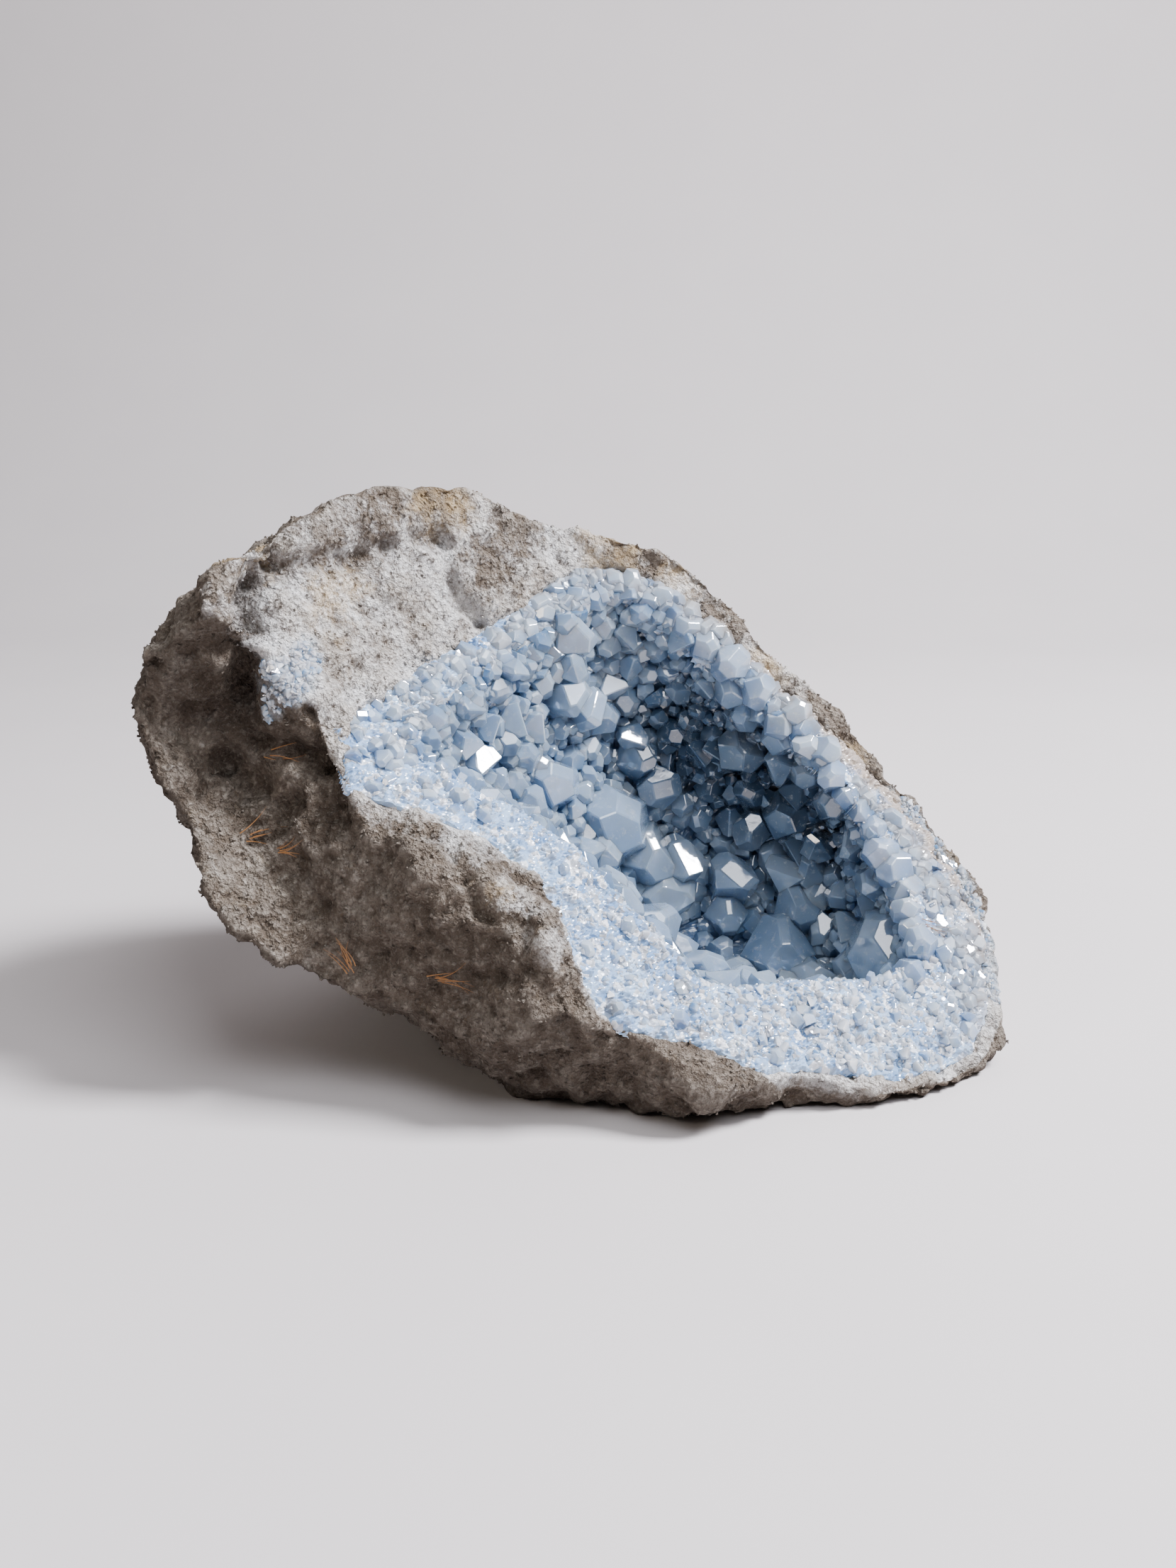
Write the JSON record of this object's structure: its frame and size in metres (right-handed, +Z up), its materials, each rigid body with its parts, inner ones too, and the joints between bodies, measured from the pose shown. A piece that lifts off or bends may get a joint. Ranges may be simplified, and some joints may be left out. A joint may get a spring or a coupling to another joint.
{
  "type": "celestite geode",
  "caption": "Limestone boulder broken open on a slanting face that shows a hollow lined with blocky pale-blue celestite crystals inside a white granular rim.",
  "frame": {"origin": "on the surface the stone rests on, under the middle of its bounding box", "axes": "+X along the stone's long axis, towards the low end that the broken face dips to; +Y to the back; +Z up. The broken face looks up, forwards and a little to +X"},
  "size_m": [0.2404, 0.153, 0.1548],
  "materials": {
    "matrix": "rough weathered limestone, granular, with pits and pale chalky patches",
    "celestite": "translucent milky grey-blue crystal faces with a glassy shine, sugary white to pale blue on the rim"
  },
  "bodies": {
    "root": {"matrix": "matrix", "crystal_crust": "celestite"}
  },
  "joints": []
}
